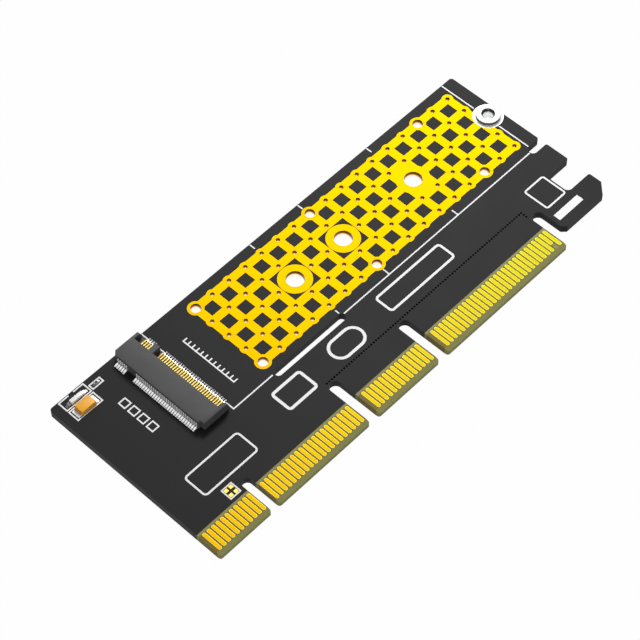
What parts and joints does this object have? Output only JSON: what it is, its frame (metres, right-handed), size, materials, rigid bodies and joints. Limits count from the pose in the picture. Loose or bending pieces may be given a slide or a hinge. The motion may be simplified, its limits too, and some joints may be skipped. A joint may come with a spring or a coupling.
{
  "type": "solid-state drive adapter card",
  "caption": "Flat black circuit card with a stepped gold edge connector, drive socket, gold heat grid with screw holes, threaded standoff and retention hook.",
  "frame": {"origin": "middle of the card's outline, on the plane of the back contacts", "axes": "+X along the card from the first contact to the hook, +Y from the contact edge to the far edge, +Z out of the side that carries the parts"},
  "size_m": [0.0994, 0.04, 0.0036],
  "materials": {
    "laminate": "glass-fibre laminate, cut edges",
    "solder_mask": "matt black lacquer",
    "gold": "gold-plated copper",
    "tin": "tinned",
    "standoff_metal": "tin-plated steel",
    "socket_plastic": "moulded, fine matt",
    "spring_metal": "gold-plated spring strip",
    "capacitor_epoxy": "moulded epoxy",
    "led_base": "white laminate",
    "led_lens": "milky epoxy",
    "resistor_ceramic": "fired ceramic",
    "resistor_coat": "black glaze",
    "white_print": "white ink"
  },
  "bodies": {
    "root": {"back_contacts_power": "gold", "back_contacts_x16": "gold", "back_contacts_x4": "gold", "back_contacts_x8": "gold", "capacitor_body": "capacitor_epoxy", "capacitor_pads": "tin", "capacitor_terminals": "tin", "circuit_board": "laminate", "front_contacts_power": "gold", "front_contacts_x16": "gold", "front_contacts_x4": "gold", "front_contacts_x8": "gold", "heat_grid": "gold", "led_base": "led_base", "led_lens": "led_lens", "led_pads": "tin", "led_terminals": "tin", "module_standoff": "standoff_metal", "print_empty_fields": "white_print", "print_length_marks": "white_print", "print_module_outline": "white_print", "print_part_boxes": "white_print", "print_solid_block": "white_print", "resistor_body": "resistor_ceramic", "resistor_coat": "resistor_coat", "resistor_pads": "tin", "resistor_terminals": "tin", "screw_ring_30": "gold", "screw_ring_42": "gold", "screw_rings_back": "gold", "socket_front_pads": "tin", "socket_housing": "socket_plastic", "socket_lower_springs": "spring_metal", "socket_rear_pads": "tin", "socket_upper_springs": "spring_metal", "solder_mask_back": "solder_mask", "solder_mask_front": "solder_mask", "spare_resistor_pads": "gold", "standoff_pad": "tin"}
  },
  "joints": []
}
